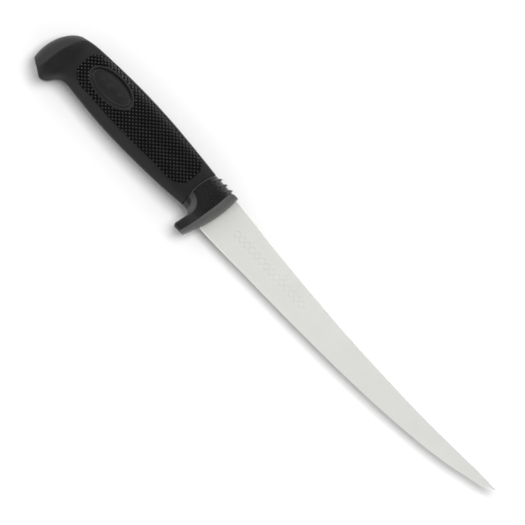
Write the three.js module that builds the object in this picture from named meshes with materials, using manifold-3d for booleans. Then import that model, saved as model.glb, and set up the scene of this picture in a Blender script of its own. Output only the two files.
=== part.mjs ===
// Narrow upswept boning knife with a moulded handle, lying on its side.
// Millimetres. +X runs to the tip, +Y to the spine (back) and +Z up, out of the left flank.
// Every piece is drawn about the heel of the blade, and the last lines move the whole knife
// so that the origin is in the middle of the rectangle that it lies on.
import * as THREE from 'three';
import { mergeVertices } from 'three/addons/utils/BufferGeometryUtils.js';
import Module from 'manifold-3d';

const wasm = await Module();
wasm.setup();

// Driving dimensions
const fitGap = 0.3;
const halfThickness = 10;
const bladeTip = 189.6;
const heelBack = -4.2;
const spineHalf = 1.0;
const lengthTaper = 0.0029;
const grindTaper = 0.0339;
const edgeBevel = 1.0;
const tangFront = -3;
const tangBack = -92;
const tangHeight = 9;
const lockHoles = [-38, -72];
const lockHoleRadius = 2.5;
const seamX = -18.3;
const seamBow = 0.0165;
const seamMiddle = 0.5;
const guardTop = 11.8;
const ridgeTop = 13;
const thumbRidges = [-13, -9.3, -5.6];
const stopBottom = -20;
const noseX = 0.25;
const noseBow = 0.0083;
const noseMiddle = 6.5;
const noseBevel = 4.9;
const hollow = { x: -18, y: -9.6, z: 12.6, across: 7.6, deep: 6.4 };
const buttX = -119.2;
const buttY = -9.5;
const buttHeight = 20.3;
const buttDepth = 14.5;
const buttBevel = 6.6;
const coreBack = -98;
const coreHalf = 4.6;
const inlayDepth = 1.6;
const inlayRoot = 3.5;
const badge = { x: -82.7, y: 2.8, long: 14.2, short: 7.7, proud: 0.3, tilt: Math.PI / 60 };

// Fineness of the curved surfaces
const sectionSides = 32;
const coreSides = 24;
const outlineCorners = 48;
const weldDistance = 1e-4;

// A smooth height along the knife through a few [x, y] points, from the butt to the tip
function smoothLine(...points) {
  const line = new THREE.CubicInterpolant(points.map((p) => p[0]), points.map((p) => p[1]), 1);
  return (x) => line.evaluate(x)[0];
}

const gripSpine = smoothLine([-124, 6.4], [-112, 8.8], [-104, 11], [-90, 12.5], [-64, 13.85],
  [-50, 13.8], [-30, 12.9], [-12, 11.75]);
const gripBelly = smoothLine([-124, -12.2], [-118, -15], [-112, -18.4], [-109, -19.9],
  [-106, -18.6], [-102.8, -14.4], [-100.7, -12.9], [-98, -12.35], [-92, -12.6], [-80, -13.35],
  [-66, -13.6], [-50, -13.1], [-30, -11.65], [-12, -9.5]);
const gripHalf = smoothLine([-124, 12], [-113, 10.1], [-105, 8.6], [-98, 8.7], [-82, 9.4],
  [-66, 9.7], [-45, 9.55], [-25, 9.25], [-12, 9.25]);
const gripSquareness = smoothLine([-124, 4], [-110, 3.6], [-98, 2.8], [-60, 2.7], [-40, 2.9],
  [-25, 3.6], [-12, 4.2]);
const bladeSpine = smoothLine([-6, 10.7], [0, 10.65], [30, 8.65], [60, 7.2], [90, 6.35],
  [110, 6.4], [140, 6.95], [165, 8.25], [180, 9.15], [bladeTip, 9.25]);
const bladeEdge = smoothLine([-6, -11.4], [0, -11.5], [30, -10.65], [60, -9.7], [90, -8.25],
  [110, -6.9], [130, -5], [150, -2.4], [165, 0.4], [175, 3], [185, 6.1], [bladeTip, 8.9]);

const steel = new THREE.MeshStandardMaterial({ color: 0xd9dbd6, roughness: 0.32, metalness: 1 });
const hardPlastic = new THREE.MeshStandardMaterial({ color: 0x1b1b1c, roughness: 0.42 });
const corePlastic = new THREE.MeshStandardMaterial({ color: 0x2a2b2c, roughness: 0.6 });
const gripRubber = new THREE.MeshStandardMaterial({ color: 0x161617, roughness: 0.55 });
const inlayRubber = new THREE.MeshStandardMaterial({ color: 0x0e0e0f, roughness: 0.75 });
const badgeRubber = new THREE.MeshStandardMaterial({ color: 0x1a1a1b, roughness: 0.5 });

// A closed solid for joining and cutting, from any closed three.js geometry
function solid(geometry) {
  geometry.deleteAttribute('normal');
  geometry.deleteAttribute('uv');
  const merged = mergeVertices(geometry, weldDistance);
  return new wasm.Manifold(new wasm.Mesh({
    numProp: 3,
    vertProperties: new Float32Array(merged.attributes.position.array),
    triVerts: new Uint32Array(merged.index.array),
  }));
}

// Sections of equal count joined along X, with section(x, k) giving the k-th corner's [y, z]
function loft(stations, sides, section) {
  const corners = [];
  const faces = [];
  for (const x of stations) {
    for (let k = 0; k < sides; k++) corners.push(x, ...section(x, k));
  }
  const last = (stations.length - 1) * sides;
  for (let ring = 0; ring < last; ring += sides) {
    for (let k = 0; k < sides; k++) {
      const next = (k + 1) % sides;
      faces.push(ring + k, ring + next, ring + sides + next);
      faces.push(ring + k, ring + sides + next, ring + sides + k);
    }
  }
  for (let k = 1; k < sides - 1; k++) {
    faces.push(0, k + 1, k);
    faces.push(last, last + k, last + k + 1);
  }
  const geometry = new THREE.BufferGeometry();
  geometry.setAttribute('position', new THREE.Float32BufferAttribute(corners, 3));
  geometry.setIndex(faces);
  return solid(geometry);
}

function steps(from, to, count) {
  return Array.from({ length: count + 1 }, (_, i) => from + ((to - from) * i) / count);
}

// A flat outline in the XY plane, extruded along Z between two heights
function prism(outline, from, to) {
  const geometry = new THREE.ExtrudeGeometry(outline, { depth: to - from, bevelEnabled: false });
  geometry.translate(0, 0, from);
  return solid(geometry);
}

// The point on a squared-off oval at angle a, for half sizes and a squareness of 2 or more
function ovalPoint(a, midY, halfY, halfZ, squareness) {
  const reach = (s) => Math.sign(s) * Math.abs(s) ** (2 / squareness);
  return [midY + halfY * reach(Math.cos(a)), halfZ * reach(Math.sin(a))];
}

// The outer form of the handle, or the same form drawn in by an inset
function gripForm(inset) {
  const stations = [...steps(-124, -101, 11), ...steps(-97, -12, 13)];
  return loft(stations, sectionSides, (x, k) => {
    const top = gripSpine(x) - inset;
    const bottom = gripBelly(x) + inset;
    const angle = ((k + 0.5) / sectionSides) * Math.PI * 2;
    return ovalPoint(angle, (top + bottom) / 2, (top - bottom) / 2, gripHalf(x) - inset,
      gripSquareness(x));
  });
}

// A block from a flat end at flatX to a curved face, for the nose of the guard and the butt
function bulgedBlock(flatX, curvedFace) {
  const side = Math.sign(curvedFace(0, 0) - flatX);
  const geometry = new THREE.BoxGeometry(1, 48, 30, 1, 32, 20);
  geometry.translate(0, -4, 0);
  const corner = geometry.attributes.position;
  for (let i = 0; i < corner.count; i++) {
    const isCurved = Math.sign(corner.getX(i)) === side;
    corner.setX(i, isCurved ? curvedFace(corner.getY(i), corner.getZ(i)) : flatX);
  }
  return solid(geometry);
}

// The closed smooth outline through a few points, grown outward all round by the given amount
function closedOutline(points, grow) {
  const through = new THREE.CatmullRomCurve3(points.map(([x, y]) => new THREE.Vector3(x, y, 0)), true);
  const corners = [];
  for (let i = 0; i < outlineCorners; i++) {
    const corner = through.getPointAt(i / outlineCorners);
    const along = through.getTangentAt(i / outlineCorners);
    corners.push(new THREE.Vector2(corner.x + along.y * grow, corner.y - along.x * grow));
  }
  return new THREE.Shape(corners);
}

// BLADE: flat-ground stainless steel with its stick tang, one piece. Each side is one plane
// from the spine to the edge bevel, so it lies flat on a rack.
function bladeHalf(x, y) {
  return spineHalf - lengthTaper * Math.max(x, 0) - grindTaper * (bladeSpine(0) - y);
}

// The ground blade between two places along X, or the same grown all round for its slot
function bladeForm(from, to, count, grow) {
  return loft(steps(from, to, count), 5, (x, k) => {
    const top = bladeSpine(x) + grow;
    const edge = bladeEdge(x) - grow;
    const bevel = edge + Math.min(edgeBevel, (top - edge) / 3);
    const side = k < 2 ? -1 : 1;
    const y = [top, bevel, edge, bevel, top][k];
    return [y, k === 2 ? 0 : side * -(bladeHalf(x, y) + grow)];
  });
}

function tangOutline(grow) {
  const outline = new THREE.Shape();
  const half = tangHeight / 2 + grow;
  outline.moveTo(tangFront, -half);
  outline.lineTo(tangFront, half);
  outline.absarc(tangBack + tangHeight / 2, 0, half, Math.PI / 2, Math.PI * 1.5, false);
  outline.lineTo(tangFront, -half);
  return outline;
}

function tangSlot() {
  return prism(tangOutline(fitGap), -spineHalf - fitGap, spineHalf + fitGap);
}

function lockPost(x, radius) {
  const post = new THREE.CylinderGeometry(radius, radius, coreHalf * 1.7, 20);
  post.rotateX(Math.PI / 2);
  post.translate(x, 0, 0);
  return solid(post);
}

function makeBlade() {
  let blade = bladeForm(heelBack, bladeTip, 44, 0).add(prism(tangOutline(0), -spineHalf, spineHalf));
  for (const x of lockHoles) blade = blade.subtract(lockPost(x, lockHoleRadius));
  return blade;
}

// GUARD: hard moulded bolster with a finger guard below, three thumb ridges on top, a bulged
// nose that the blade comes out of, and a hollow for the finger on each side.
function seamAt(y, shift) {
  return seamX + shift + seamBow * (y - seamMiddle) ** 2;
}

function guardOutline() {
  const outline = new THREE.Shape();
  const back = fitGap / 2;
  outline.moveTo(seamAt(-10.1, back), -10.1);
  for (const y of steps(-8, 10, 6)) outline.lineTo(seamAt(y, back), y);
  outline.lineTo(seamAt(guardTop, back), guardTop);
  for (const ridge of thumbRidges) {
    outline.lineTo(ridge - 1.6, guardTop);
    outline.lineTo(ridge - 0.3, ridgeTop);
    outline.lineTo(ridge + 0.25, ridgeTop - 0.1);
    outline.lineTo(ridge - 0.1, guardTop);
  }
  outline.lineTo(-2.4, guardTop + 0.5);
  outline.quadraticCurveTo(0.6, 12.2, 0.6, 9);
  outline.lineTo(0.6, -12);
  outline.lineTo(-6.8, stopBottom);
  outline.lineTo(-11.6, stopBottom);
  outline.quadraticCurveTo(-12.5, -19.8, -12.4, -18.4);
  outline.quadraticCurveTo(-12, -15, -11.2, -12);
  outline.quadraticCurveTo(-12.5, -10.2, seamAt(-10.1, back), -10.1);
  return outline;
}

// The guard as the blade's tip sees it: full width at the grip, narrower down to the finger stop
function guardFrontForm() {
  const outline = new THREE.Shape();
  outline.moveTo(-4.5, ridgeTop);
  outline.lineTo(4.5, ridgeTop);
  outline.quadraticCurveTo(halfThickness, ridgeTop - 1, halfThickness, 7);
  outline.lineTo(halfThickness, -1);
  outline.bezierCurveTo(9.6, -8, 7.6, -12, 7.3, -15.5);
  outline.quadraticCurveTo(7, stopBottom, 2.2, stopBottom);
  outline.lineTo(-2.2, stopBottom);
  outline.quadraticCurveTo(-7, stopBottom, -7.3, -15.5);
  outline.bezierCurveTo(-7.6, -12, -9.6, -8, -halfThickness, -1);
  outline.lineTo(-halfThickness, 7);
  outline.quadraticCurveTo(-halfThickness, ridgeTop - 1, -4.5, ridgeTop);
  const length = noseX - seamX + 2;
  const geometry = new THREE.ExtrudeGeometry(outline, { depth: length, bevelEnabled: false });
  geometry.rotateY(Math.PI / 2);
  geometry.translate(seamX - 1, 0, 0);
  return solid(geometry);
}

function noseSurface(y, z) {
  return noseX - noseBow * (y - noseMiddle) ** 2 - noseBevel * (z / halfThickness) ** 2;
}

function fingerHollow(side) {
  const cutter = new THREE.SphereGeometry(1, 32, 20);
  cutter.scale(hollow.across, hollow.across, hollow.deep);
  cutter.translate(hollow.x, hollow.y, side * hollow.z);
  return solid(cutter);
}

function makeGuard() {
  return prism(guardOutline(), -halfThickness, halfThickness)
    .intersect(guardFrontForm())
    .intersect(bulgedBlock(-40, noseSurface))
    .subtract(fingerHollow(1))
    .subtract(fingerHollow(-1))
    .subtract(bladeForm(heelBack - fitGap, 8, 4, fitGap))
    .subtract(tangSlot());
}

// HANDLE CORE: hard nylon moulded round the tang, with a post through each hole of the tang.
function coreForm(grow) {
  return loft([coreBack - grow, seamX + 2 + grow], coreSides, (x, k) => {
    const angle = ((k + 0.5) / coreSides) * Math.PI * 2;
    const halfY = coreHalf * 1.55 + 0.012 * (x - seamX) + grow;
    return ovalPoint(angle, 0, halfY, coreHalf + grow, 3);
  });
}

function makeCore() {
  let core = coreForm(0).intersect(seamBlock()).subtract(tangSlot());
  for (const x of lockHoles) core = core.add(lockPost(x, lockHoleRadius - fitGap));
  return core;
}

// GRIP SHELL: soft moulding over the core, with the beak at the pommel, a pocket on each flank
// for the chequered inlay, and the cavity for the core open at the front.
function seamBlock() {
  const outline = new THREE.Shape();
  outline.moveTo(buttX - 5, stopBottom - 2);
  for (const y of steps(stopBottom - 2, 16, 14)) outline.lineTo(seamAt(y, -fitGap / 2), y);
  outline.lineTo(buttX - 5, 16);
  return prism(outline, -halfThickness - 1, halfThickness + 1);
}

function buttSurface(y, z) {
  const up = THREE.MathUtils.clamp((y - buttY) / buttHeight, -0.5, 0.995);
  const crown = buttDepth * (1 - Math.sqrt(1 - up ** 2));
  return buttX + crown + buttBevel * (z / halfThickness) ** 2;
}

const inlayPoints = [[-100.2, 1], [-99.4, -3.6], [-96, -6.4], [-85, -7.2], [-72, -7.5],
  [-55, -7], [-40, -6.1], [-28, -5.2], [-24, -3], [-22.7, 3], [-23, 8.4], [-26, 11.2],
  [-36, 12.2], [-50, 12.95], [-64, 13], [-80, 12.2], [-96, 10.6], [-99.6, 6.8]];

function inlayPrism(side, grow) {
  const outline = closedOutline(inlayPoints, grow);
  const root = inlayRoot - grow;
  return side > 0 ? prism(outline, root, 16) : prism(outline, -16, -root);
}

function badgePrism(side, grow) {
  const outline = new THREE.Shape();
  outline.absellipse(badge.x, badge.y, badge.long + grow, badge.short + grow, 0, Math.PI * 2,
    false, badge.tilt);
  return side > 0 ? prism(outline, inlayRoot, 16) : prism(outline, -16, -inlayRoot);
}

const handleBlank = gripForm(0).intersect(bulgedBlock(20, buttSurface)).intersect(seamBlock());

function makeShell() {
  const pocketFloor = gripForm(inlayDepth + fitGap);
  let shell = handleBlank.subtract(coreForm(fitGap));
  for (const side of [1, -1]) shell = shell.subtract(inlayPrism(side, fitGap).subtract(pocketFloor));
  return shell;
}

// INLAY: chequered soft panel pressed into the pocket on one flank, with a window for the badge.
function makeInlay(side) {
  return handleBlank.intersect(inlayPrism(side, 0)).subtract(gripForm(inlayDepth))
    .subtract(badgePrism(side, fitGap));
}

// BADGE: oval cap in the window of the inlay, standing a little proud with its rim.
function makeBadge(side) {
  return gripForm(-badge.proud).intersect(badgePrism(side, 0)).subtract(gripForm(inlayDepth));
}

const knife = new THREE.Group();

function place(name, piece, material) {
  const { vertProperties, triVerts } = piece.getMesh();
  const geometry = new THREE.BufferGeometry();
  geometry.setAttribute('position', new THREE.Float32BufferAttribute(vertProperties, 3));
  geometry.setIndex(Array.from(triVerts));
  geometry.computeVertexNormals();
  const mesh = new THREE.Mesh(geometry, material);
  mesh.name = name;
  knife.add(mesh);
}

place('blade', makeBlade(), steel);
place('guard', makeGuard(), hardPlastic);
place('handle_core', makeCore(), corePlastic);
place('grip_shell', makeShell(), gripRubber);
place('grip_inlay_left', makeInlay(1), inlayRubber);
place('grip_inlay_right', makeInlay(-1), inlayRubber);
place('badge_left', makeBadge(1), badgeRubber);
place('badge_right', makeBadge(-1), badgeRubber);

const box = new THREE.Box3().setFromObject(knife);
const centre = box.getCenter(new THREE.Vector3());
knife.position.set(-centre.x, -centre.y, -box.min.z);

export default knife;
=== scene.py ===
import math

import bpy
import numpy as np
from mathutils import Matrix, Vector


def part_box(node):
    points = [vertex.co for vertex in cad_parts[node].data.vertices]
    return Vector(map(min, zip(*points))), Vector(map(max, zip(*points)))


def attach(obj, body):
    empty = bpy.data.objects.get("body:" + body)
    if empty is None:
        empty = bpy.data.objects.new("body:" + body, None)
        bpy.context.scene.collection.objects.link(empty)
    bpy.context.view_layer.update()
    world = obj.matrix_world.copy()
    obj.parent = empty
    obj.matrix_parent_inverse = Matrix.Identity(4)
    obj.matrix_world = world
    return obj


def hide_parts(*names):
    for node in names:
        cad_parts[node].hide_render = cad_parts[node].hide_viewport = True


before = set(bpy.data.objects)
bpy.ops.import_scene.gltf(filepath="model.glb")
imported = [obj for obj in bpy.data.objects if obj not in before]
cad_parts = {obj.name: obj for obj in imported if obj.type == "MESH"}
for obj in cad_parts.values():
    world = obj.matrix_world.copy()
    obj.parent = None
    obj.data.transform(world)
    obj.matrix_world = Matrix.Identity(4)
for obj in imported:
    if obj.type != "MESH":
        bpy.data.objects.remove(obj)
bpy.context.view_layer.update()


# BLADE. One strip of stainless steel, ground flat on both sides and satin brushed, with a
# narrow honed edge. Its stick tang runs back inside the handle and has two lock holes.
# Drawn in millimetres about its heel: x to the tip, y to the back, z out of the left flank.
MILLIMETRE = 0.001
BLADE_LENGTH = 189.6
FINGER_STOP_DEPTH = 20
BACK_HALF = 1.0
BACK_ROUND = 0.15
HONED_WIDTH = 0.75
HONED_MORE_AT_TIP = 0.8
LENGTH_TAPER = 0.0029
FLANK_SLOPE = 0.0339
HEEL_BACK = -4.2
TANG_BACK = -92
TANG_HALF_HEIGHT = 4.5
LOCK_HOLES = (-38, -72)
LOCK_HOLE_RADIUS = 2.5
FIT_GAP = 0.3

blade_low, blade_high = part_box("blade")
guard_low, guard_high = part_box("guard")
HEEL = Vector((blade_high.x - BLADE_LENGTH * MILLIMETRE,
               guard_low.y + FINGER_STOP_DEPTH * MILLIMETRE,
               (guard_low.z + guard_high.z) / 2))


def line_through(*points):
    """A smooth height along the knife through a few (x, y) points."""
    xs, ys = np.array(points, float).T
    slopes = np.gradient(ys, xs)

    def height(x):
        i = np.clip(np.searchsorted(xs, x) - 1, 0, len(xs) - 2)
        span = xs[i + 1] - xs[i]
        t = (x - xs[i]) / span
        rise = (3 - 2 * t) * t * t
        return ((1 - rise) * ys[i] + rise * ys[i + 1]
                + t * (1 - t) ** 2 * span * slopes[i] + t * t * (t - 1) * span * slopes[i + 1])
    return height


def ease(t):
    t = np.clip(t, 0, 1)
    return t * t * (3 - 2 * t)


def new_piece(name, corners, faces):
    mesh = bpy.data.meshes.new(name)
    mesh.from_pydata(np.asarray(corners, float).tolist(), [], faces)
    piece = bpy.data.objects.new(name, mesh)
    bpy.context.scene.collection.objects.link(piece)
    return piece


def loft(name, rings):
    """A closed skin over rings of equal count, listed from the butt towards the tip."""
    rings = np.asarray(rings, float)
    count, sides = rings.shape[:2]
    here = np.arange(sides)
    ahead = (here + 1) % sides
    faces = [here[::-1].tolist()]
    for first in range(0, (count - 1) * sides, sides):
        later = first + sides
        faces += np.stack([first + here, first + ahead, later + ahead, later + here], 1).tolist()
    faces.append((here + (count - 1) * sides).tolist())
    return new_piece(name, rings.reshape(-1, 3), faces)


def prism(name, outline, low, high):
    """A flat outline in x and y, drawn anticlockwise, extruded along z."""
    outline = np.asarray(outline, float)
    count = len(outline)
    corners = [(x, y, z) for z in (low, high) for x, y in outline]
    faces = [list(range(count))[::-1], list(range(count, 2 * count))]
    faces += [[k, (k + 1) % count, count + (k + 1) % count, count + k] for k in range(count)]
    return new_piece(name, corners, faces)


def boolean(piece, tool, operation):
    """Joins or cuts a piece with a tool, which is used up."""
    change = piece.modifiers.new(operation, "BOOLEAN")
    change.operation = operation
    change.object = tool
    change.solver = "EXACT"
    done = bpy.data.meshes.new_from_object(piece.evaluated_get(bpy.context.evaluated_depsgraph_get()))
    piece.modifiers.clear()
    piece.data = done
    bpy.data.objects.remove(tool)


def settle(piece, crease, material):
    """Takes a piece from millimetres to its place in the frame, shaded smooth up to a crease."""
    piece.data.transform(Matrix.Translation(HEEL) @ Matrix.Scale(MILLIMETRE, 4))
    piece.data.shade_smooth()
    piece.data.set_sharp_from_angle(angle=math.radians(crease))
    piece.data.materials.clear()
    piece.data.materials.append(material)


class Finish:
    """A procedural material in the making, with its nodes added one by one. The settings are
    values for the shader's own sockets."""

    def __init__(self, name, **settings):
        self.material = bpy.data.materials.new(name)
        self.material.use_nodes = True
        self.tree = self.material.node_tree
        self.shader = self.tree.nodes["Principled BSDF"]
        for socket, value in settings.items():
            self.shader.inputs[socket.replace("_", " ")].default_value = value
        self.place = self.node("ShaderNodeTexCoord").outputs["Object"]

    def node(self, kind, inputs=(), **settings):
        made = self.tree.nodes.new(kind)
        for setting, value in settings.items():
            setattr(made, setting, value)
        for socket, value in dict(inputs).items():
            if isinstance(value, bpy.types.NodeSocket):
                self.tree.links.new(value, made.inputs[socket])
            else:
                made.inputs[socket].default_value = value
        return made

    def noise(self, size, detail=2.0):
        """Soft noise whose blotches are about the given size in millimetres."""
        inputs = {"Vector": self.place, "Detail": detail, "Roughness": 0.55,
                  "Scale": 1 / (size * MILLIMETRE)}
        return self.node("ShaderNodeTexNoise", inputs).outputs["Fac"]

    def streaks(self, detail, x, y, z):
        """Noise that is drawn out, with x, y and z blotches to a metre along each axis."""
        stretched = self.node("ShaderNodeMapping", {"Vector": self.place, "Scale": (x, y, z)})
        inputs = {"Vector": stretched.outputs[0], "Detail": detail, "Roughness": 0.55, "Scale": 1.0}
        return self.node("ShaderNodeTexNoise", inputs).outputs["Fac"]

    def math(self, operation, *values):
        return self.node("ShaderNodeMath", dict(enumerate(values)), operation=operation).outputs[0]

    def ranged(self, value, low, high, out_low, out_high):
        inputs = {"Value": value, "From Min": low, "From Max": high, "To Min": out_low, "To Max": out_high}
        return self.node("ShaderNodeMapRange", inputs).outputs["Result"]

    def mix(self, amount, a, b):
        made = self.node("ShaderNodeMix", {0: amount}, data_type="RGBA")
        for socket, value in ((6, a), (7, b)):
            if isinstance(value, bpy.types.NodeSocket):
                self.tree.links.new(value, made.inputs[socket])
            else:
                made.inputs[socket].default_value = (*value, 1)
        return made.outputs[2]

    def bump(self, height, depth, strength=1.0, under=None):
        inputs = {"Height": height, "Distance": depth * MILLIMETRE, "Strength": strength}
        if under:
            inputs["Normal"] = under
        return self.node("ShaderNodeBump", inputs).outputs["Normal"]

    def wire(self, **outputs):
        for socket, value in outputs.items():
            self.tree.links.new(value, self.shader.inputs[socket.replace("_", " ")])


def twist_ornament(finish, start, end, middle, reach, pitch):
    """A faint etched ribbon of two crossing waves between two lines: 1 on the etched lines."""
    parts = finish.node("ShaderNodeSeparateXYZ", {0: finish.place}).outputs
    along = finish.math("DIVIDE", finish.math("SUBTRACT", parts[0], HEEL.x), MILLIMETRE)
    across = finish.math("DIVIDE", finish.math("SUBTRACT", parts[1], HEEL.y), MILLIMETRE)
    across = finish.math("SUBTRACT", across, middle)
    turn = finish.math("MULTIPLY", along, 2 * math.pi / pitch)
    swing = finish.math("MULTIPLY", finish.math("SINE", turn), reach)
    etched = None
    for side in (1, -1):
        off = finish.math("ABSOLUTE", finish.math("SUBTRACT", across, finish.math("MULTIPLY", swing, side)))
        mark = finish.ranged(off, 0.16, 0.34, 1, 0)
        etched = mark if etched is None else finish.math("MAXIMUM", etched, mark)
    beyond = finish.math("ABSOLUTE", finish.math("SUBTRACT", along, (start + end) / 2))
    kept = finish.ranged(beyond, (end - start) / 2 - 0.4, (end - start) / 2, 1, 0)
    left_flank = finish.ranged(parts[2], HEEL.z, HEEL.z + 0.1 * MILLIMETRE, 0, 1)
    return finish.math("MULTIPLY", finish.math("MULTIPLY", etched, kept), left_flank)


def satin_steel():
    steel = Finish("satin_steel", Metallic=0.88)
    across_lines = steel.streaks(3.0, 5200, 90, 400)
    wide_lines = steel.streaks(2.0, 1100, 25, 100)
    clouds = steel.noise(14, 2.0)
    etched = twist_ornament(steel, 11, 61, 0.2, 1.7, 7.1)
    tone = steel.mix(clouds, (0.84, 0.84, 0.815), (0.90, 0.905, 0.87))
    tone = steel.mix(steel.ranged(wide_lines, 0.3, 0.7, 0, 0.25), tone, (0.79, 0.795, 0.77))
    tone = steel.mix(steel.math("MULTIPLY", etched, 0.22), tone, (0.34, 0.345, 0.33))
    dull = steel.ranged(across_lines, 0.3, 0.7, 0.52, 0.62)
    dull = steel.math("ADD", dull, steel.math("MULTIPLY", etched, 0.12))
    lines = steel.bump(across_lines, 0.004, 0.35)
    steel.wire(Base_Color=tone, Roughness=dull, Normal=steel.bump(wide_lines, 0.006, 0.25, lines))
    return steel.material


blade_back = line_through((-6, 10.7), (0, 10.65), (30, 8.65), (60, 7.2), (90, 6.35), (110, 6.4),
                          (140, 6.95), (165, 8.25), (180, 9.15), (BLADE_LENGTH, 9.25))
blade_edge = line_through((-6, -11.4), (0, -11.5), (30, -10.65), (60, -9.7), (90, -8.25),
                          (110, -6.9), (130, -5), (150, -2.4), (165, 0.4), (175, 3), (185, 5.8),
                          (BLADE_LENGTH, 8.4))


def blade_half(x, y):
    """Half the blade's thickness: a plane from the back at the heel, thinner to tip and edge."""
    return BACK_HALF - LENGTH_TAPER * np.maximum(x, 0) - FLANK_SLOPE * (blade_back(0) - y)


def blade_ring(x):
    top, edge = blade_back(x), blade_edge(x)
    width = HONED_WIDTH + HONED_MORE_AT_TIP * ease((x - 168) / 10)
    honed = edge + min(width, (top - edge) * 0.42)
    corner = min(BACK_ROUND, (top - edge) * 0.1)
    turn = np.radians([90, 60, 30, 0])
    y = top - corner + corner * np.sin(turn)
    z = blade_half(x, top - corner) - corner + corner * np.cos(turn)
    flat = np.linspace(top - corner, honed, 9)[1:]
    side = [*zip(y, z), *zip(flat, blade_half(x, flat)), (edge, 0.04)]
    return [(x, y, -z) for y, z in side] + [(x, y, z) for y, z in reversed(side)]


def tang_outline(grow):
    turn = np.linspace(math.pi / 2, math.pi * 1.5, 17)
    half = TANG_HALF_HEIGHT + grow
    end = [(TANG_BACK + TANG_HALF_HEIGHT + half * math.cos(a), half * math.sin(a)) for a in turn]
    return [(-3, half), *end, (-3, -half)]


def lock_post(radius):
    turn = np.linspace(0, 2 * math.pi, 33)[:-1]
    return [(radius * math.cos(a), radius * math.sin(a)) for a in turn]


blade = loft("blade", [blade_ring(x) for x in (*np.linspace(HEEL_BACK, 168, 120),
                                               *np.linspace(169, BLADE_LENGTH, 50))])
boolean(blade, prism("tang", tang_outline(0), -BACK_HALF, BACK_HALF), "UNION")
for hole_x in LOCK_HOLES:
    hole = [(hole_x + x, y) for x, y in lock_post(LOCK_HOLE_RADIUS)]
    boolean(blade, prism("hole", hole, -2, 2), "DIFFERENCE")
settle(blade, 12, satin_steel())
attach(blade, "root")
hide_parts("blade")


# GUARD. A hard black moulding that the blade comes out of. It carries the finger guard below,
# three thumb ridges on its back and a hollow behind the finger guard for the first finger.
SEAM = -18.3
SEAM_BOW = 0.0165
SEAM_MIDDLE = 0.5
SEAM_GAP = 0.1
GUARD_HALF = 10
GUARD_TOP = 11.85
GUARD_MIDDLE = 0.85
GUARD_SQUARENESS = 5.6
THUMB_RIDGES = (-12.5, -8.8, -5.0)
RIDGE_LEAN = 0.5
RIDGE_RISE = 1.15
LIP_RISE = 0.4
NOSE = 0.25
NOSE_BOW = 0.0083
NOSE_MIDDLE = 6.5
NOSE_CROWN = 4.9
QUILLON_REAR = -11.15
QUILLON_LEAN = 0.18
UNDERSIDE = -10.15
HOLLOW_MIDDLE = (-17.3, -8.8)
HOLLOW_RADIUS = 6.8
HOLLOW_REACH = 3.2
HOLLOW_FLOOR = 8.5
HOLLOW_HEIGHTS = (-14, -12.5, -11.4, -9)
HOLLOW_SHIFTS = (-1.8, -0.9, -0.35, 0)
SLOT_TOP = 10.95
SLOT_BOTTOM = -11.95
SLOT_PLAY = 0.15
SKIN_CELL = 0.22

plate_half = line_through((-20.5, 7.1), (-18.5, 7.2), (-16, 7.6), (-12, 8.4), (-8, 9.3), (-4, 9.85),
                          (0, 9.98), (3, 10), (13.5, 10))


def seam_at(y):
    return SEAM + SEAM_BOW * (y - SEAM_MIDDLE) ** 2


def nose_at(y, z):
    crown = NOSE_CROWN + 0.4 * ease((-8 - y) / 6)
    return NOSE - NOSE_BOW * (y - NOSE_MIDDLE) ** 2 - crown * (z / GUARD_HALF) ** 2


def both(a, b, radius):
    """Inside both surfaces, with the edge between them rounded."""
    u, v = np.maximum(a + radius, 0), np.maximum(b + radius, 0)
    return np.minimum(np.maximum(a, b), -radius) + np.hypot(u, v)


def thumb_ridge(x, y):
    """How far three forward-leaning ribs and the front lip lift the back."""
    lean = x - RIDGE_LEAN * (y - 12.5)
    rise = sum(ease((lean - ridge + 1.4) / 1.3) * ease((ridge + 0.75 - lean) / 0.85)
               for ridge in THUMB_RIDGES)
    return RIDGE_RISE * rise * ease((y - 8.5) / 2.8) + LIP_RISE * ease((x + 3.9) / 1.6)


def guard_flank(x, y):
    """The height of the flank, with the hollow that runs back from the finger guard."""
    plate = plate_half(y)
    floor = HOLLOW_FLOOR - 0.01 * (y - 2) ** 2
    off_x = np.maximum(x - HOLLOW_MIDDLE[0], 0)
    off_y = np.maximum(y - HOLLOW_MIDDLE[1], 0)
    inward = HOLLOW_RADIUS + np.interp(y, HOLLOW_HEIGHTS, HOLLOW_SHIFTS) - np.hypot(off_x, off_y)
    sunk = 1 - (1 - np.clip(inward / HOLLOW_REACH, 0, 1)) ** 2
    return plate - np.maximum(plate - floor, 0) * sunk


def finger_room(x, y):
    """Negative in the open space under the handle and behind the finger guard."""
    quillon_rear = QUILLON_REAR + QUILLON_LEAN * (y + 11.8)
    return both(x - quillon_rear, y - UNDERSIDE, 1.9)


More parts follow.
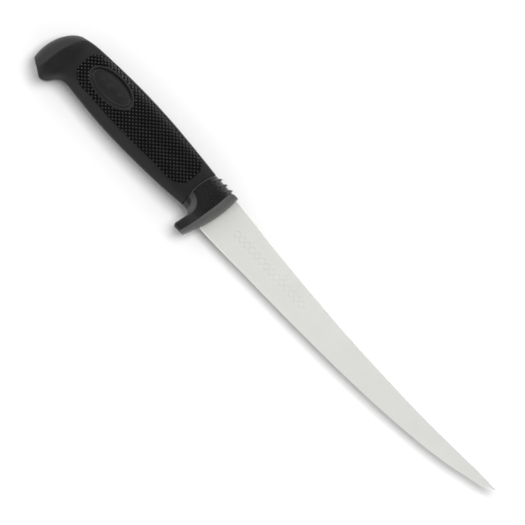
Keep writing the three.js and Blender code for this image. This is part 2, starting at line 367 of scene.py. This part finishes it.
def guard_field(x, y, z):
    """Negative inside the guard, and close to a distance near its surface."""
    z = np.abs(z)
    step = 0.02
    flank = guard_flank(x, y)
    slope_x = (guard_flank(x + step, y) - flank) / step
    slope_y = (guard_flank(x, y + step) - flank) / step
    up = np.maximum(y - thumb_ridge(x, y) - GUARD_MIDDLE, 0) / (GUARD_TOP - GUARD_MIDDLE)
    out = (up ** GUARD_SQUARENESS + (z / flank) ** GUARD_SQUARENESS) ** (1 / GUARD_SQUARENESS)
    side = (out - 1) * GUARD_HALF / np.sqrt(1 + slope_x ** 2 + slope_y ** 2)
    bottom = -FINGER_STOP_DEPTH - y
    nose = (x - nose_at(y, z)) / np.sqrt(1 + (2 * NOSE_BOW * (y - NOSE_MIDDLE)) ** 2 + (0.1 * z) ** 2)
    body = both(side, bottom, 1.6)
    body = both(body, -finger_room(x, y), 0.5 + 2.6 * ease((-11.4 - x) / 2.6))
    body = both(both(body, nose, 0.5), seam_at(y) + SEAM_GAP / 2 - x, 0.35)
    across = z - BACK_HALF - SLOT_PLAY
    blade_slot = np.maximum(HEEL_BACK - FIT_GAP - x, np.maximum(y - SLOT_TOP, SLOT_BOTTOM - y))
    tang_slot = np.abs(y) - TANG_HALF_HEIGHT - FIT_GAP
    return np.maximum(body, -np.maximum(across, np.minimum(blade_slot, tang_slot)))


def skin_over(name, field, low, high, cell):
    """A fine skin where the field is 0: one corner for each grid cell that it crosses, each
    then moved onto the surface."""
    axes = [np.arange(a, b + cell, cell) for a, b in zip(low, high)]
    inside = field(*np.meshgrid(*axes, indexing="ij")) < 0
    corners_in = sum(inside[i:i - 1 or None, j:j - 1 or None, k:k - 1 or None].astype(int)
                     for i in (0, 1) for j in (0, 1) for k in (0, 1))
    crossed = (corners_in > 0) & (corners_in < 8)
    number = np.full(crossed.shape, -1)
    number[crossed] = np.arange(crossed.sum())
    place = np.array(low) + (np.argwhere(crossed) + 0.5) * cell
    faces = []
    for axis in range(3):
        side_a, side_b = (axis + 1) % 3, (axis + 2) % 3
        first = np.take(inside, range(inside.shape[axis] - 1), axis)
        second = np.take(inside, range(1, inside.shape[axis]), axis)
        edges = np.argwhere(first != second)
        quad = []
        for a, b in ((1, 1), (0, 1), (0, 0), (1, 0)):
            cell_index = edges.copy()
            cell_index[:, side_a] -= a
            cell_index[:, side_b] -= b
            quad.append(number[tuple(cell_index.T)])
        quad = np.stack(quad, 1)
        leaving = first[tuple(edges.T)]
        faces += quad[leaving].tolist() + quad[~leaving][:, ::-1].tolist()
    nudge = 1e-3
    for _ in range(8):
        value = field(*place.T)
        slope = np.stack([(field(*(place + nudge * way).T) - field(*(place - nudge * way).T))
                          / (2 * nudge) for way in np.eye(3)], 1)
        move = value[:, None] * slope / np.maximum((slope ** 2).sum(1), 0.05)[:, None]
        place -= np.clip(move, -cell / 2, cell / 2)
    return new_piece(name, place, faces)


def moulded(name, tones, dull, grain, wear_and_sheen, gloss):
    """Black moulded plastic or rubber: a fine spark-eroded grain, faint flow marks, small
    scuffs, and convex edges and points painted lighter: partly rubbing wear, partly a painted edge
    highlight."""
    finish = Finish(name, Metallic=0.0, Specular_IOR_Level=gloss)
    flow = finish.noise(9, 3.0)
    fine = finish.noise(grain, 4.0)
    scuff = finish.streaks(5.0, 260, 1400, 900)
    tone = finish.mix(flow, *tones)
    # Painted highlight: edges and points are painted lighter by their pointiness, partly as rubbing wear
    # and partly as a painted sheen.
    edge = finish.node("ShaderNodeNewGeometry").outputs["Pointiness"]
    rubbed_and_sheen = finish.ranged(edge, 0.53, 0.66, 0, wear_and_sheen)
    tone = finish.mix(rubbed_and_sheen, tone, (0.06, 0.06, 0.062))
    rough = finish.ranged(finish.math("ADD", flow, finish.math("MULTIPLY", scuff, 0.6)), 0.4, 1.2, *dull)
    grain_normal = finish.bump(fine, grain * 0.12, 0.5)
    finish.wire(Base_Color=tone, Roughness=rough, Normal=finish.bump(scuff, 0.008, 0.2, grain_normal))
    return finish.material


guard = skin_over("guard", guard_field, (-19.2, -20.6, -10.7), (0.7, 13.6, 10.7), SKIN_CELL)
settle(guard, 62, moulded("guard_plastic", ((0.003, 0.003, 0.0031), (0.005, 0.005, 0.0052)),
                          (0.24, 0.31), 0.16, 0.08, 0.76))
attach(guard, "root")
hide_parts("guard")


# HANDLE CORE. Hard nylon moulded round the tang, with a post through each of its holes. It is
# shut in by the grip, so its plain shape is right as it is and only gets its finish.
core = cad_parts["handle_core"]
core.data.materials.clear()
core.data.materials.append(moulded("core_plastic", ((0.03, 0.03, 0.031), (0.05, 0.05, 0.051)),
                                   (0.5, 0.62), 0.3, 0.2, 0.5))


# GRIP SHELL. The soft black moulding over the core: smooth belly and back, a waist in front of
# the pommel, and a beak whose end is a rounded face that meets the flanks in a crisp edge.
# A shallow pocket on each flank takes the chequered inlay.
BUTT = -119.2
BUTT_MIDDLE = -9.5
BUTT_HEIGHT = 20.3
BUTT_DEPTH = 14.5
BUTT_CROWN = 6.6
RING_SIDES = 144
BUTT_ROUND = 0.2
SEAM_ROUND = 0.15
OVERREACH = 1.07
CORNER = 0.06
FULL_REACH = 1 - CORNER * math.exp((1 - CORNER - OVERREACH) / CORNER)
CORE_BACK = -98
CORE_HALF = 4.6
INLAY_DEPTH = 1.6

grip_back = line_through((-124, 6.4), (-112, 8.8), (-104, 11), (-90, 12.5), (-64, 13.85), (-50, 13.8),
                         (-30, 12.9), (-12, 11.75))
grip_belly = line_through((-124, -12.2), (-118, -15), (-112, -18.4), (-109, -19.9), (-106, -18.6),
                          (-102.8, -14.4), (-100.7, -12.9), (-98, -12.35), (-92, -12.6), (-80, -13.35),
                          (-66, -13.6), (-50, -13.1), (-30, -11.65), (-12, -9.5))
grip_half = line_through((-124, 12), (-113, 10.1), (-105, 8.6), (-98, 8.7), (-82, 9.4), (-66, 9.7),
                         (-45, 9.55), (-25, 9.25), (-12, 9.25))
grip_squareness = line_through((-124, 4), (-110, 3.6), (-98, 2.8), (-60, 2.7), (-40, 2.9), (-25, 3.6),
                               (-12, 4.2))


def butt_at(y, z):
    up = np.clip((y - BUTT_MIDDLE) / BUTT_HEIGHT, -0.5, 0.995)
    return BUTT + BUTT_DEPTH * (1 - np.sqrt(1 - up ** 2)) + BUTT_CROWN * (z / GUARD_HALF) ** 2


def grip_section(x, turn, inset=0.0):
    """The y and z on the grip's surface at x, a turn round from its back: a squared oval that
    reaches past the back and belly lines and is bent in to them with a rounded corner."""
    top, bottom = grip_back(x) - inset, grip_belly(x) + inset
    power = 2 / grip_squareness(x)
    c, s = np.cos(turn), np.sin(turn)
    reach = OVERREACH * np.abs(c) ** power
    bent = 1 - CORNER * np.exp(np.minimum((1 - CORNER - reach) / CORNER, 0))
    off = np.where(reach > 1 - CORNER, bent, reach) / FULL_REACH
    y = (top + bottom) / 2 + (top - bottom) / 2 * np.sign(c) * off
    return y, (grip_half(x) - inset) * np.sign(s) * np.abs(s) ** power


def grip_rings():
    """From the middle of the butt out to its edge, along the flanks, and in again at the seam."""
    turn = (np.arange(RING_SIDES) + 0.5) / RING_SIDES * 2 * math.pi
    near, far = np.full(RING_SIDES, -124.0), np.full(RING_SIDES, -103.0)
    for _ in range(40):
        middle = (near + far) / 2
        outside = middle < butt_at(*grip_section(middle, turn))
        near, far = np.where(outside, middle, near), np.where(outside, far, middle)
    butt_edge = (near + far) / 2
    seam_edge = np.full(RING_SIDES, SEAM)
    for _ in range(6):
        seam_edge = seam_at(grip_section(seam_edge, turn)[0]) - SEAM_GAP / 2
    rings = []
    edge_y, edge_z = grip_section(butt_edge, turn)
    centre_y = -4.5
    reach = np.hypot(edge_y - centre_y, edge_z)
    for part in (*np.linspace(0.01, 0.94, 30), 1 - BUTT_ROUND / reach):
        y, z = centre_y + (edge_y - centre_y) * part, edge_z * part
        rings.append(np.stack([butt_at(y, z), y, z], 1))
    length = seam_edge - butt_edge
    for part in (BUTT_ROUND / length, *np.linspace(0.02, 0.98, 150) ** 0.97, 1 - SEAM_ROUND / length):
        x = butt_edge + length * part
        rings.append(np.stack([x, *grip_section(x, turn)], 1))
    edge_y, edge_z = grip_section(seam_edge, turn)
    reach = np.hypot(edge_y, edge_z)
    for part in (1 - SEAM_ROUND / reach, 0.8, 0.6):
        y, z = edge_y * part, edge_z * part
        rings.append(np.stack([seam_at(y) - SEAM_GAP / 2, y, z], 1))
    return rings


def inset_form(inset):
    turn = (np.arange(64) + 0.5) / 64 * 2 * math.pi
    stations = np.linspace(-110, -14, 90)
    return loft("form", [np.stack([np.full(64, x), *grip_section(x, turn, inset)], 1) for x in stations])


def core_form(grow):
    turn = (np.arange(48) + 0.5) / 48 * 2 * math.pi
    c, s = np.cos(turn), np.sin(turn)
    rings = []
    for x in (CORE_BACK - grow, -10):
        half = CORE_HALF * 1.55 + 0.012 * (x - SEAM) + grow
        y = half * np.sign(c) * np.abs(c) ** (2 / 3)
        z = (CORE_HALF + grow) * np.sign(s) * np.abs(s) ** (2 / 3)
        rings.append(np.stack([np.full(48, x), y, z], 1))
    return loft("core_form", rings)


def closed_outline(points, count, grow):
    """The closed smooth outline through a few points, grown outward all round."""
    points = np.array(points, float)
    laps = np.vstack([points[-3:], points, points[:4]])
    along = np.concatenate([[0], np.cumsum(np.linalg.norm(np.diff(laps, axis=0), axis=1))])
    start, end = along[3], along[3 + len(points)]
    at_x = line_through(*zip(along, laps[:, 0]))
    at_y = line_through(*zip(along, laps[:, 1]))
    s = np.linspace(start, end, count + 1)[:-1]
    x, y = at_x(s), at_y(s)
    way_x, way_y = at_x(s + 0.01) - at_x(s - 0.01), at_y(s + 0.01) - at_y(s - 0.01)
    size = np.hypot(way_x, way_y)
    return np.stack([x + way_y / size * grow, y - way_x / size * grow], 1)


INLAY_POINTS = [(-100.2, 1), (-99.4, -3.6), (-96, -6.4), (-85, -7.2), (-72, -7.5), (-55, -7), (-40, -6.1),
                (-28, -5.2), (-24, -3), (-22.7, 3), (-23, 8.4), (-26, 11.2), (-36, 12.2), (-50, 12.95),
                (-64, 13), (-80, 12.2), (-96, 10.6), (-99.6, 6.8)]

grip = loft("grip_shell", grip_rings())
boolean(grip, core_form(FIT_GAP), "DIFFERENCE")
for side in (1, -1):
    root = sorted((side * 3.2, side * 16))
    pocket = prism("pocket", closed_outline(INLAY_POINTS, 260, 0.12), *root)
    boolean(pocket, inset_form(INLAY_DEPTH + FIT_GAP), "DIFFERENCE")
    boolean(grip, pocket, "DIFFERENCE")
settle(grip, 40, moulded("grip_rubber", ((0.005, 0.005, 0.0052), (0.009, 0.009, 0.0093)),
                         (0.34, 0.42), 0.14, 0.08, 0.28))
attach(grip, "root")
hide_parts("grip_shell")


# INLAYS. A soft matt panel pressed into the pocket on each flank, moulded all over in crossed
# V grooves that leave rows of small four-sided points, with an oval window for the badge.
GROOVES_ALONG = 0.406
GROOVES_ACROSS = 0.445
GROOVE_DEPTH = 0.7
BADGE_MIDDLE = (-81.6, 3.1)
BADGE_LONG = 13.8
BADGE_SHORT = 7.35
BADGE_TILT = math.radians(3)


def flank_at(x, y):
    """The height of the grip's left flank."""
    top, bottom = grip_back(x), grip_belly(x)
    off = np.abs((y - (top + bottom) / 2) / ((top - bottom) / 2))
    off = np.minimum(off, 0.985) * FULL_REACH
    bent = 1 - CORNER - CORNER * np.log((1 - off) / CORNER)
    reach = np.where(off > 1 - CORNER, bent, off) / OVERREACH
    return grip_half(x) * (1 - reach ** grip_squareness(x)) ** (1 / grip_squareness(x))


def off_flank(x, y, height):
    """Points above or below the left flank, measured square to it."""
    step = 0.02
    slope_x = (flank_at(x + step, y) - flank_at(x - step, y)) / (2 * step)
    slope_y = (flank_at(x, y + step) - flank_at(x, y - step)) / (2 * step)
    size = np.sqrt(1 + slope_x ** 2 + slope_y ** 2)
    return np.stack([x - slope_x / size * height, y - slope_y / size * height,
                     flank_at(x, y) + height / size], -1)


def badge_outline(grow, count=120):
    turn = np.linspace(0, 2 * math.pi, count + 1)[:-1]
    u, v = (BADGE_LONG + grow) * np.cos(turn), (BADGE_SHORT + grow) * np.sin(turn)
    c, s = math.cos(BADGE_TILT), math.sin(BADGE_TILT)
    return np.stack([BADGE_MIDDLE[0] + c * u - s * v, BADGE_MIDDLE[1] + s * u + c * v], 1)


def chequered_slab():
    """A slab over the whole inlay whose corners follow the grooves, so each point is four facets."""
    steps = ((0, 1.0), (0.25, 0.16), (0.5, 0.0), (0.75, 0.16))
    rows = np.arange(-60, 4)
    fraction = np.array([r + s for r in rows for s, _ in steps])
    sunk = np.array([d for _ in rows for _, d in steps])
    first, second = np.meshgrid(fraction, fraction + 12, indexing="ij")
    depth = np.maximum(*np.meshgrid(sunk, sunk, indexing="ij"))
    x = (first + second) / (2 * GROOVES_ALONG)
    y = (first - second) / (2 * GROOVES_ACROSS)
    return x, y, depth


def inlay_solid(name):
    x, y, depth = chequered_slab()
    outline = closed_outline(INLAY_POINTS, 80, 1.6)
    middle_x = (x[:-1, :-1] + x[1:, 1:]) / 2
    middle_y = (y[:-1, :-1] + y[1:, 1:]) / 2
    kept = np.zeros(middle_x.shape, bool)
    for (x1, y1), (x2, y2) in zip(outline, np.roll(outline, -1, 0)):
        crosses = (y1 > middle_y) != (y2 > middle_y)
        kept ^= crosses & (middle_x < (x2 - x1) * (middle_y - y1) / ((y2 - y1) or 1e-9) + x1)
    number = np.arange(x.size).reshape(x.shape)
    i, j = np.nonzero(kept)
    quads = np.stack([number[i, j], number[i, j + 1], number[i + 1, j + 1], number[i + 1, j]], 1)
    same_way = (i % 4 < 2) == (j % 4 < 2)
    triangles = np.vstack([quads[same_way][:, (0, 1, 2)], quads[same_way][:, (0, 2, 3)],
                           quads[~same_way][:, (0, 1, 3)], quads[~same_way][:, (1, 2, 3)]])
    used = np.unique(triangles)
    top = off_flank(x, y, -GROOVE_DEPTH * depth).reshape(-1, 3)[used]
    under = off_flank(x, y, np.full(x.shape, -INLAY_DEPTH)).reshape(-1, 3)[used]
    triangles = np.searchsorted(used, triangles)
    count = len(used)
    edges = np.vstack([triangles[:, (0, 1)], triangles[:, (1, 2)], triangles[:, (2, 0)]])
    known = set(map(tuple, edges.tolist()))
    rim = [(a, b) for a, b in known if (b, a) not in known]
    faces = triangles.tolist() + (triangles[:, ::-1] + count).tolist()
    faces += [[b, a, a + count, b + count] for a, b in sorted(rim)]
    return new_piece(name, np.vstack([top, under]), faces)


def mirrored(piece, name):
    """The same piece for the right flank."""
    twin = bpy.data.objects.new(name, piece.data.copy())
    bpy.context.scene.collection.objects.link(twin)
    twin.data.transform(Matrix.Scale(-1, 4, (0, 0, 1)))
    twin.data.flip_normals()
    return twin


inlay_left = inlay_solid("inlay_left")
boolean(inlay_left, prism("trim", closed_outline(INLAY_POINTS, 260, 0), 1, 16), "INTERSECT")
boolean(inlay_left, prism("window", badge_outline(0.12), 1, 16), "DIFFERENCE")
inlay_right = mirrored(inlay_left, "inlay_right")
inlay_rubber = moulded("inlay_rubber", ((0.002, 0.002, 0.0021), (0.004, 0.004, 0.0042)),
                       (0.24, 0.32), 0.10, 0.8, 0.54)
for inlay, node in ((inlay_left, "grip_inlay_left"), (inlay_right, "grip_inlay_right")):
    settle(inlay, 20, inlay_rubber)
    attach(inlay, "root")
    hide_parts(node)


# BADGES. An oval rubber cap in the window of each inlay: a rounded rim, a sunk face with one
# raised line round it, and plain lozenges in relief.
RIM_WIDTH = 1.0
RIM_PROUD = 0.26
RIM_FOOT = 0.15
FACE_SUNK = 0.7
LINE_INSET = 2.4
LINE_PROUD = 0.14
LOZENGES = ((0, 3.6, 2.0), (-5.8, 1.9, 1.1), (5.8, 1.9, 1.1))
LOZENGE_PROUD = 0.12
CREASE_HALF = 0.52
CREASE_INSET = 1.45
CREASE_DEPTH = 1.55


def badge_height(inward, u, v):
    """The height over the flank, for a distance in from the rim's foot."""
    arch = np.sqrt(np.clip(1 - (inward / (RIM_WIDTH / 2) - 1) ** 2, 0, 1))
    rim = arch * (RIM_PROUD + RIM_FOOT) - RIM_FOOT
    wall = ease((inward - RIM_WIDTH + 0.1) / 0.2)
    face = -FACE_SUNK - 0.2 * v / BADGE_SHORT + 0.3 * (u / BADGE_LONG) ** 2
    face = face + LINE_PROUD * ease(1 - np.abs(inward - LINE_INSET) / 0.35)
    for middle, long, short in LOZENGES:
        lozenge = 1 - np.abs(u - middle) / long - np.abs(v) / short
        face = face + LOZENGE_PROUD * ease(lozenge / 0.5)
    crease = ease((CREASE_HALF - np.abs(inward - CREASE_INSET)) / 0.12)
    crease = crease * ease((v / BADGE_SHORT - 0.3 * u / BADGE_LONG + 0.2) / 0.8)
    face = face + (-CREASE_DEPTH - face) * crease
    return np.where(inward < RIM_WIDTH, rim, 0) * (1 - wall) + face * wall


def badge_solid(name):
    sides, rings = 200, 90
    turn = np.arange(sides) / sides * 2 * math.pi
    share = np.concatenate([np.linspace(0.01, 0.64, 34), np.linspace(0.65, 1, rings - 34)])
    share, turn = np.meshgrid(share, turn, indexing="ij")
    u, v = BADGE_LONG * share * np.cos(turn), BADGE_SHORT * share * np.sin(turn)
    c, s = math.cos(BADGE_TILT), math.sin(BADGE_TILT)
    x, y = BADGE_MIDDLE[0] + c * u - s * v, BADGE_MIDDLE[1] + s * u + c * v
    inward = (1 - share) * BADGE_LONG * BADGE_SHORT / np.hypot(BADGE_SHORT * np.cos(turn),
                                                               BADGE_LONG * np.sin(turn))
    face = off_flank(x, y, badge_height(inward, u, v))
    foot = off_flank(x, y, np.full(x.shape, -INLAY_DEPTH))
    layers = np.concatenate([foot[::20], foot[-1:], face[::-1]])
    count = len(layers)
    here = np.arange(sides)
    ahead = (here + 1) % sides
    faces = [here[::-1].tolist()]
    for first in range(0, (count - 1) * sides, sides):
        later = first + sides
        faces += np.stack([first + here, first + ahead, later + ahead, later + here], 1).tolist()
    faces.append((here + (count - 1) * sides).tolist())
    return new_piece(name, layers.reshape(-1, 3), faces)


badge_left = badge_solid("badge_left")
badge_right = mirrored(badge_left, "badge_right")
badge_rubber = moulded("badge_rubber", ((0.005, 0.005, 0.0052), (0.009, 0.009, 0.0093)),
                       (0.30, 0.38), 0.12, 0.08, 0.33)
for badge, node in ((badge_left, "badge_left"), (badge_right, "badge_right")):
    settle(badge, 60, badge_rubber)
    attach(badge, "root")
    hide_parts(node)


# FLOOR. A plain sheet of matt white paper that the knife lies on, with a trace of cloudiness
# in its tone.
floor = new_piece("floor", [(-3, -3, 0), (3, -3, 0), (3, 3, 0), (-3, 3, 0)], [[0, 1, 2, 3]])
paper = Finish("white_paper", Roughness=0.9, Specular_IOR_Level=0.1)
paper.wire(Base_Color=paper.mix(paper.noise(60, 2.0), (0.55, 0.55, 0.55), (0.56, 0.56, 0.56)))
floor.data.materials.append(paper.material)


# LIGHT. A white tent that is dark straight above, where the camera stands, and brighter towards
# both ends of the knife, with one broad soft lamp high on the side of the knife's back.
TENT_RAMP = ((0.10, 0.9), (0.45, 1.35), (0.60, 1.35), (0.78, 1.05), (0.87, 0.55), (0.94, 0.05),
             (1.0, 0.04))
TENT_STRENGTH = 0.5
TENT_MORE_AT_ENDS = 1.2
TENT_AXIS = (0.26, 0.0, 1.0)

world = bpy.data.worlds.new("tent")
bpy.context.scene.world = world
world.use_nodes = True
tent = world.node_tree
direction = tent.nodes.new("ShaderNodeTexCoord")
upward = tent.nodes.new("ShaderNodeVectorMath")
upward.operation = "DOT_PRODUCT"
upward.inputs[1].default_value = Vector(TENT_AXIS).normalized()
tent.links.new(direction.outputs["Generated"], upward.inputs[0])
ramp = tent.nodes.new("ShaderNodeValToRGB")
tent.links.new(upward.outputs["Value"], ramp.inputs[0])
while len(ramp.color_ramp.elements) < len(TENT_RAMP):
    ramp.color_ramp.elements.new(0.5)
for stop, (place, white) in zip(ramp.color_ramp.elements, TENT_RAMP):
    stop.position = place
    stop.color = (white, white, white, 1)
tent.links.new(ramp.outputs[0], tent.nodes["Background"].inputs[0])
lengthwise = tent.nodes.new("ShaderNodeVectorMath")
lengthwise.operation = "DOT_PRODUCT"
lengthwise.inputs[1].default_value = (1, 0, 0)
tent.links.new(direction.outputs["Generated"], lengthwise.inputs[0])
either_end = tent.nodes.new("ShaderNodeMath")
either_end.operation = "ABSOLUTE"
tent.links.new(lengthwise.outputs["Value"], either_end.inputs[0])
glow = tent.nodes.new("ShaderNodeMath")
glow.operation = "MULTIPLY_ADD"
glow.inputs[1].default_value = TENT_MORE_AT_ENDS
glow.inputs[2].default_value = TENT_STRENGTH
tent.links.new(either_end.outputs[0], glow.inputs[0])
tent.links.new(glow.outputs[0], tent.nodes["Background"].inputs[1])


def soft_lamp(name, target, side, elevation, distance, size, power):
    """A square soft lamp on a given side of the knife, aimed at it."""
    lamp = bpy.data.objects.new(name, bpy.data.lights.new(name, "AREA"))
    lamp.data.size = size
    lamp.data.energy = power
    around, up = math.radians(side), math.radians(elevation)
    away = Vector((math.cos(around) * math.cos(up), math.sin(around) * math.cos(up), math.sin(up)))
    lamp.location = target + away * distance
    lamp.rotation_mode = "QUATERNION"
    lamp.rotation_quaternion = away.to_track_quat("Z", "Y")
    lamp.visible_camera = False
    lamp.visible_glossy = False
    bpy.context.scene.collection.objects.link(lamp)


# CAMERA. Straight above the knife and turned so that the tip points down to the right. It
# stands high, with a long lens, so that the near flank isn't magnified.
VIEW_MIDDLE = 30.8
VIEW_WIDTH = 256.6
VIEW_TURN = math.radians(47.6)
CAMERA_HEIGHT = 3.0

aim = HEEL + Vector((VIEW_MIDDLE, 0, 0)) * MILLIMETRE
soft_lamp("key", aim, 90, 75, 1.1, 0.48, 14)
camera = bpy.data.objects.new("camera", bpy.data.cameras.new("camera"))
bpy.context.scene.collection.objects.link(camera)
camera.data.sensor_width = 36
camera.data.lens = 36 * CAMERA_HEIGHT / (VIEW_WIDTH * MILLIMETRE)
camera.location = aim + Vector((0, 0, CAMERA_HEIGHT))
camera.rotation_euler = (0, 0, VIEW_TURN)
bpy.context.scene.camera = camera
bpy.context.scene.view_settings.view_transform = "Standard"
